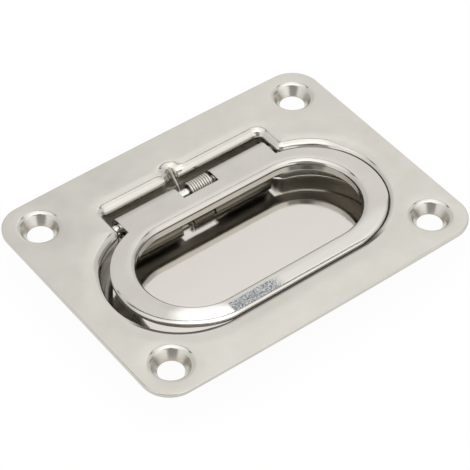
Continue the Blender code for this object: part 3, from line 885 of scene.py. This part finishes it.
# The cut edge is crisp round the flap. On the near band its upper corner is worn round, and the face
# beside it sinks by the square of the distance left to its reach.
flap_edge = cut_edge((0, 0), (1, 0), (0, -1), (FLAP_EDGE, FLAP_EDGE))
band_edge = cut_edge((0, 0), (1, 0), (0, -1), (BAND_EDGE, BURR_EDGE))
ledge = np.linspace(1, 0, BAND_SAG_ROWS + 1)[:-1, None] * (1, 0)
flap_edge = np.concatenate((flap_edge[:1] + LEAST_GUARD * ledge, flap_edge))
band_edge = np.concatenate((band_edge[:1] + (BAND_SAG_REACH - band_edge[0, 0]) * ledge, band_edge))
sink = BAND_SAG * np.clip(1 - band_edge[:, 0] / BAND_SAG_REACH, 0, 1) ** 2
band_edge[:, 1] -= sink * (band_edge[:, 1] > -SHEET / 2)
layers = []
for flap_pair, band_pair in zip(flap_edge, band_edge):
    pair = flap_pair + (band_pair - flap_pair) * on_band
    layers.append(np.column_stack((inset_loop(blank, pair[:, :1]), pair[:, 1])))
rim_skin = np.stack(layers)
lip = lip_section()
lip_skin = carried(opening_outline, lip)
shells = [(rim_skin.reshape(-1, 3), grid_faces(len(band_edge), rim_skin.shape[1]))]
shells.append((lip_skin.reshape(-1, 3), grid_faces(len(lip), lip_skin.shape[1])))
for row, height in ((0, 0), (-1, -SHEET)):
    face = level(rim_skin[row, :, :2], [lip_skin[row, :, :2]], np.array((FACE_SPACING, roll_step)))
    shells.append(at_height(face, height))
shells = [(rolled(eased(points.reshape(-1, 3))), faces) for points, faces in shells]
ring_mesh = smooth_mesh("rolled_ring", shells)
ring_mesh.transform(Matrix.Translation((RING_SHIFT, hinge_y, hinge_z)))
points = vertex_vectors(ring_mesh, "co")

# Two shares for the finish and its painted shade: the sheared face of the near edge, dull as a fracture
# face and darker still with painted shade of the gap below it, and the underside, rougher and darkened
# with painted shade.
beside = nearest(points[:, :2], blank + (RING_SHIFT, hinge_y))
sheared = (beside < BAND_EDGE / 2) & (points[:, 1] < hinge_y - NOTCH_DEPTH)
deep = smooth_step(points[:, 2] - ring_top + BAND_SAG, *SHEAR_SHADE_DEPTH)
along = SHEAR_SHADE_FAINT + (1 - SHEAR_SHADE_FAINT) * smooth_step(points[:, 0], *SHEAR_SHADE_LEFT_END)
keep_share(ring_mesh, "shear_shade", sheared * deep * on_near_side(points) * along)
keep_share(ring_mesh, "rough_shaded_underside", smooth_step(vertex_vectors(ring_mesh, "normal")[:, 2], *SHADED_UNDERSIDE_TILT))

ring_steel = bare_steel("ring_steel_finish", RING_COLOUR, polish=0.12, mottle=0.08, grain=0.00000035)
tree = ring_steel.node_tree
place = shader_node(tree, "ShaderNodeTexCoord", output=3)
near_band = faded(tree, measure(tree, place, 1), *BAND_ACROSS)
blended(ring_steel, "Base Color", near_band, BAND_COLOUR)
# Frosted patch with a painted highlight: a near-white ellipse on the near band stands in for the reflection
# of a bright area in the band's tilt.
frost_highlight = shader_node(
    tree,
    "ShaderNodeMapping",
    {"Vector": place, "Location": FROST_HIGHLIGHT_PLACE, "Rotation": (0, 0, FROST_HIGHLIGHT_TURN), "Scale": FROST_HIGHLIGHT_SIZE},
    vector_type="TEXTURE",
)
frost_highlight = shader_node(tree, "ShaderNodeVectorMath", {0: frost_highlight}, output=1, operation="LENGTH")
blended(ring_steel, "Base Color", faded(tree, frost_highlight, *FROST_HIGHLIGHT_LIMITS), FROST_HIGHLIGHT_COLOUR)
scuff = shader_node(
    tree,
    "ShaderNodeMapping",
    {"Vector": place, "Location": SCUFF_PLACE, "Scale": SCUFF_SIZE},
    vector_type="TEXTURE",
)
scuff_x = measure(tree, scuff, 0)
scuff_y = measure(tree, scuff, 1)
pits = shader_node(tree, "ShaderNodeTexNoise", {"Vector": place, "Scale": PIT_SCALE, "Detail": 2})
scuff = product(
    tree,
    *(faded(tree, scuff_x, *limits) for limits in SCUFF_ENDS),
    *(faded(tree, scuff_y, *limits) for limits in SCUFF_SIDES),
)
pitted = shader_node(
    tree,
    "ShaderNodeMix",
    {"Factor": faded(tree, pits, *PIT_LIMITS), "A": PIT_COLOUR, "B": SCUFF_COLOUR},
    output=2,
    data_type="RGBA",
)
blended(ring_steel, "Base Color", scuff, pitted)
blended(ring_steel, "Roughness", scuff, SCUFF_ROUGHNESS)
shear_shade = shader_node(tree, "ShaderNodeAttribute", output=2, attribute_name="shear_shade")
# Painted shade: the lower part of the near cut edge is darkened beyond its fracture face, for the gap's shade
# below it.
blended(ring_steel, "Base Color", shear_shade, SHEAR_SHADE_COLOUR)
blended(ring_steel, "Roughness", shear_shade, SHEAR_SHADE_ROUGHNESS)
shaded_underside = shader_node(tree, "ShaderNodeAttribute", output=2, attribute_name="rough_shaded_underside")
# Painted shade: faces that look down get a darker colour as well as more roughness.
blended(ring_steel, "Base Color", shaded_underside, UNDERSIDE_SHADE_COLOUR)
blended(ring_steel, "Roughness", shaded_underside, SHADED_UNDERSIDE_ROUGHNESS)
ring = new_piece("rolled_ring", ring_mesh, ring_steel)
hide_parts("pull_ring")
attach(ring, "ring")

# Hinge pin
# A bright drawn steel rod through the pocket's side walls. Both ends are peened over outside them,
# which leaves low domed heads.
PIN_HEAD_RADIUS = 0.00145
PIN_HEAD_HEIGHT = 0.0006
PIN_HEAD_DOME = 0.0003
PIN_POLE = 1e-7
PIN_STEPS = 48
DOME_STEPS = 6
PIN_COLOUR = (0.74, 0.73, 0.7)


def turned(profile, steps):
    """Turned piece about the X axis: each profile pair of place and radius goes round in a circle."""
    angles = np.linspace(0, 2 * math.pi, steps + 1)[:-1]
    place = np.repeat(profile[:, :1], steps, axis=1)
    return np.stack((place, profile[:, 1:] * np.cos(angles), profile[:, 1:] * np.sin(angles)), axis=-1)


tip = pin_high.x
dome = np.linspace(0, QUARTER, DOME_STEPS + 1)
half = np.column_stack((tip - PIN_HEAD_DOME * (1 - np.cos(dome)), PIN_HEAD_RADIUS * np.sin(dome)))
half[0, 1] = PIN_POLE
neck = [(tip - PIN_HEAD_HEIGHT, PIN_HEAD_RADIUS), (tip - PIN_HEAD_HEIGHT, PIN_RADIUS)]
half = np.concatenate((half, neck))
profile = np.concatenate((half, half[::-1] * (-1, 1)))
skin = turned(profile, PIN_STEPS)
pin_mesh = smooth_mesh("bright_pin", [(skin.reshape(-1, 3), grid_faces(len(profile), PIN_STEPS))])
pin_mesh.transform(Matrix.Translation((0, hinge_y, hinge_z)))
pin_steel = bare_steel("pin_steel_finish", PIN_COLOUR, polish=0.1, mottle=0.02, grain=0.0000001)
pin = new_piece("bright_pin", pin_mesh, pin_steel)
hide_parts("hinge_pin")
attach(pin, "plate")

# Torsion spring
# Round spring wire, wound in nine close turns round the pin. One leg stands off the first turn and
# rises at the back to lie in the rim's groove, the other turns along the hinge into the seam of the roll.
COIL_PITCH = 0.00055
COIL_TURNS = 9
REST_LEG_LENGTH = 0.0062
SEAM_LEG_LENGTH = 0.0026
SEAM_LEG_BEND = 0.0004
SPRING_COLOUR = (0.572, 0.55, 0.498)
WIRE_STEPS = 20
COIL_POINTS = 420
LEG_POINTS = 22
LEG_BEND_STEPS = 8
SEAM_LEG_STEPS = 11
TIP_SIZES = (0, 0.7, 0.93, 1)
TIP_PLACES = (0, 0, 0.1, 0.3)

seam_angle = math.pi - math.asin((PIN_RADIUS + PIN_CLEARANCE) / 2 / COIL_RADIUS)
coil_sweep = 2 * math.pi * COIL_TURNS + 2 * math.pi - DIAGONAL - seam_angle
coil_end = COIL_X + COIL_PITCH * coil_sweep / (2 * math.pi)


def on_coil(along, angle):
    """Points at the coil's radius about the pin's axis, at places along it and angles round it."""
    return np.column_stack((along, COIL_RADIUS * np.cos(angle), COIL_RADIUS * np.sin(angle)))


bend_share = SEAM_LEG_BEND / COIL_RADIUS / coil_sweep
share = np.linspace(0, 1 - bend_share, COIL_POINTS)
stand_off = (LEG_X - COIL_X) * smooth_step(share * coil_sweep, math.pi, 0)
coil = on_coil(COIL_X + stand_off + (coil_end - COIL_X) * share, -DIAGONAL - coil_sweep * share)
leg_way = np.array((0, math.cos(DIAGONAL), math.sin(DIAGONAL)))
leg = coil[0] + leg_way * np.linspace(REST_LEG_LENGTH, 0, LEG_POINTS)[:-1, None]
turn = np.linspace(0, QUARTER, LEG_BEND_STEPS + 1)[1:]
bend = on_coil(
    coil[-1, 0] + SEAM_LEG_BEND * (1 - np.cos(turn)),
    seam_angle + SEAM_LEG_BEND / COIL_RADIUS * (1 - np.sin(turn)),
)
seam_leg = bend[-1] + np.array((1, 0, 0)) * np.linspace(0, SEAM_LEG_LENGTH, SEAM_LEG_STEPS + 1)[1:, None]
wire = np.concatenate((leg, coil, bend, seam_leg))


def wire_skin(path, radius, steps):
    """Tube along a path: at each point a circle square to the path, begun on the side away from the
    pin's axis, with the two cut ends slightly rounded and closed."""
    along = np.gradient(path, axis=0)
    along /= np.linalg.norm(along, axis=1)[:, None]
    away = path * (0, 1, 1)
    away -= (away * along).sum(axis=1)[:, None] * along
    away /= np.linalg.norm(away, axis=1)[:, None]
    aside = np.cross(along, away)
    tip = radius * np.array(TIP_PLACES)[:, None]
    centres = np.concatenate((path[0] + along[0] * tip, path[1:-1], path[-1] - along[-1] * tip[::-1]))
    sizes = radius * np.concatenate((TIP_SIZES, np.ones(len(path) - 2), TIP_SIZES[::-1]))
    more = len(TIP_SIZES) - 1
    pick = np.clip(np.arange(-more, len(path) + more), 0, len(path) - 1)
    angles = np.linspace(0, 2 * math.pi, steps + 1)[:-1]
    circle = np.cos(angles)[:, None] * away[pick][:, None] + np.sin(angles)[:, None] * aside[pick][:, None]
    return centres[:, None] + sizes[:, None, None] * circle


skin = wire_skin(wire, LEG_WIRE, WIRE_STEPS)
spring_mesh = smooth_mesh("wound_spring", [(skin.reshape(-1, 3), grid_faces(len(skin), WIRE_STEPS))])
spring_mesh.transform(Matrix.Translation((0, hinge_y, hinge_z)))
spring_steel = bare_steel("spring_steel_finish", SPRING_COLOUR, polish=0.15, mottle=0.03, grain=0.0000001)
spring = new_piece("wound_spring", spring_mesh, spring_steel)
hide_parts("torsion_spring")
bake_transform(spring)

# Floor
# A plain white table top under the latch, which keeps a faint shadow.
FLOOR_HALF = 3.0
FLOOR_DROP = 0.0001
FLOOR_GLOW_SHARE = 0.95
FLOOR_COLOUR = (0.9, 0.9, 0.9, 1)
WHITE = (1, 1, 1, 1)

floor_mesh = bpy.data.meshes.new("floor")
floor_points = np.array([(-1, -1, 0), (1, -1, 0), (1, 1, 0), (-1, 1, 0)]) * FLOOR_HALF - (0, 0, FLOOR_DROP)
floor_mesh.from_pydata(floor_points, [], [(0, 1, 2, 3)])
floor_material = bpy.data.materials.new("white_table")
floor_material.use_nodes = True
tree = floor_material.node_tree
tree.nodes.remove(tree.nodes["Principled BSDF"])
paint = shader_node(tree, "ShaderNodeBsdfDiffuse", {"Color": FLOOR_COLOUR})
glow = shader_node(tree, "ShaderNodeEmission", {"Color": WHITE, "Strength": 1.0})
ray = tree.nodes.new("ShaderNodeLightPath")
by_camera, by_gloss = ray.outputs["Is Camera Ray"], ray.outputs["Is Glossy Ray"]
seen = shader_node(tree, "ShaderNodeMath", {0: by_camera, 1: by_gloss}, operation="MAXIMUM")
share_lit = shader_node(tree, "ShaderNodeMath", {0: seen, 1: FLOOR_GLOW_SHARE}, operation="MULTIPLY")
mixed = shader_node(tree, "ShaderNodeMixShader", {0: share_lit, 1: paint, 2: glow})
tree.links.new(mixed, tree.nodes["Material Output"].inputs["Surface"])
floor = new_piece("floor", floor_mesh, floor_material)

# Light
# A white tent round the table. Its back wall is a plain white that grows brighter past a dark seam
# toward the roof, a dark stand is at the right, and the camera is in a dark opening at the front.
# Every place in the tent is given by how far its direction points up, and by its angle from the back
# or from the camera, counted to the right.
BACK_WALL = (
    (0, 0.86), (0.4, 0.88), (0.7, 0.92),
    (0.78, 1.06), (0.83, 1.14), (0.87, 1.2),
    (0.9, 1.32), (0.95, 1.4), (1, 1.65),
)

world = bpy.data.worlds.new("tent")
scene.world = world
world.use_nodes = True
tree = world.node_tree
toward = Vector((toward_camera.x, toward_camera.y, 0)).normalized()
aside = Vector((-toward.y, toward.x, 0))
way = shader_node(tree, "ShaderNodeTexCoord", output=0)


def dot(axis):
    """How far the direction points along an axis."""
    return shader_node(tree, "ShaderNodeVectorMath", {0: way, 1: axis}, output=1, operation="DOT_PRODUCT")


def math_node(operation, *values):
    """Arithmetic on numbers or sockets."""
    return shader_node(tree, "ShaderNodeMath", dict(enumerate(values)), operation=operation)


def step_up(value, start, end):
    """Share in the tent's tree that goes smoothly from 0 at the start to 1 at the end."""
    return faded(tree, value, start, end)


def blend_to(base, share, brightness):
    """Brightness that goes from the base to a new value by a share."""
    return shader_node(tree, "ShaderNodeMix", {"Factor": share, "A": base, "B": brightness})


def added(base, share, brightness):
    """Base with a share of some brightness added."""
    return math_node("ADD", base, math_node("MULTIPLY", share, brightness))


front = dot(toward)
side = dot(aside)
up = dot((0, 0, 1))
turn = math_node("ARCTAN2", side, math_node("MULTIPLY", front, -1))
off_back = math_node("ABSOLUTE", turn)
off_camera = math_node("ARCTAN2", side, front)
light = BACK_WALL[0][1]
for (low, dim), (high, bright) in zip(BACK_WALL, BACK_WALL[1:]):
    limits = {"Value": up, "From Min": low, "From Max": high, "To Max": bright - dim}
    light = math_node("ADD", light, shader_node(tree, "ShaderNodeMapRange", limits))
middle = step_up(math_node("ABSOLUTE", math_node("SUBTRACT", turn, 0.16)), 0.42, 0.08)
light = added(light, middle, brightness=0.2)
middle_high = product(tree, middle, step_up(up, 0.72, 0.79))
light = added(light, middle_high, brightness=0.12)
seam = product(tree, step_up(up, 0.824, 0.832), step_up(up, 0.870, 0.862), step_up(front, -0.15, -0.35))
light = blend_to(light, seam, brightness=0.05)
below_roof = step_up(up, 0.97, 0.9)
both_sides = product(tree, step_up(off_back, 1.4, 1.9), below_roof)
light = added(light, both_sides, brightness=0.2)
right_wall = product(tree, step_up(turn, 1.5, 1.85), below_roof, step_up(up, 0.15, 0.5))
light = added(light, right_wall, brightness=0.3)
front_high = product(tree, step_up(off_back, 1.9, 2.5), step_up(up, 0.74, 0.84), step_up(up, 0.999, 0.975))
light = added(light, front_high, brightness=0.3)
front_low = product(tree, step_up(off_back, 1.8, 2.3), step_up(up, 0.5, 0.3))
light = added(light, front_low, brightness=0.2)
stand = product(tree, step_up(turn, 0.82, 0.98), step_up(turn, 1.54, 1.44), step_up(up, 0.46, 0.40))
light = blend_to(light, stand, brightness=0.4)
opening = product(
    tree,
    step_up(off_camera, -0.68, -0.52),
    step_up(off_camera, 0.42, 0.28),
    step_up(up, 0.74, 0.68),
)
light = blend_to(light, opening, brightness=0.42)
opening_top = product(
    tree,
    step_up(off_camera, -0.42, -0.3),
    step_up(off_camera, 0.75, 0.6),
    step_up(up, 0.54, 0.6),
    step_up(up, 0.80, 0.74),
)
light = blend_to(light, opening_top, brightness=0.45)
opening_foot = product(tree, opening, step_up(up, 0.24, 0.16))
light = blend_to(light, opening_foot, brightness=0.2)
lens = step_up(dot(toward_camera), 0.984, 0.992)
light = blend_to(light, lens, brightness=0.18)
ray = tree.nodes.new("ShaderNodeLightPath")
light = blend_to(light, ray.outputs["Is Camera Ray"], brightness=1.0)
tree.links.new(light, tree.nodes["Background"].inputs["Strength"])
tree.nodes["Background"].inputs["Color"].default_value = WHITE
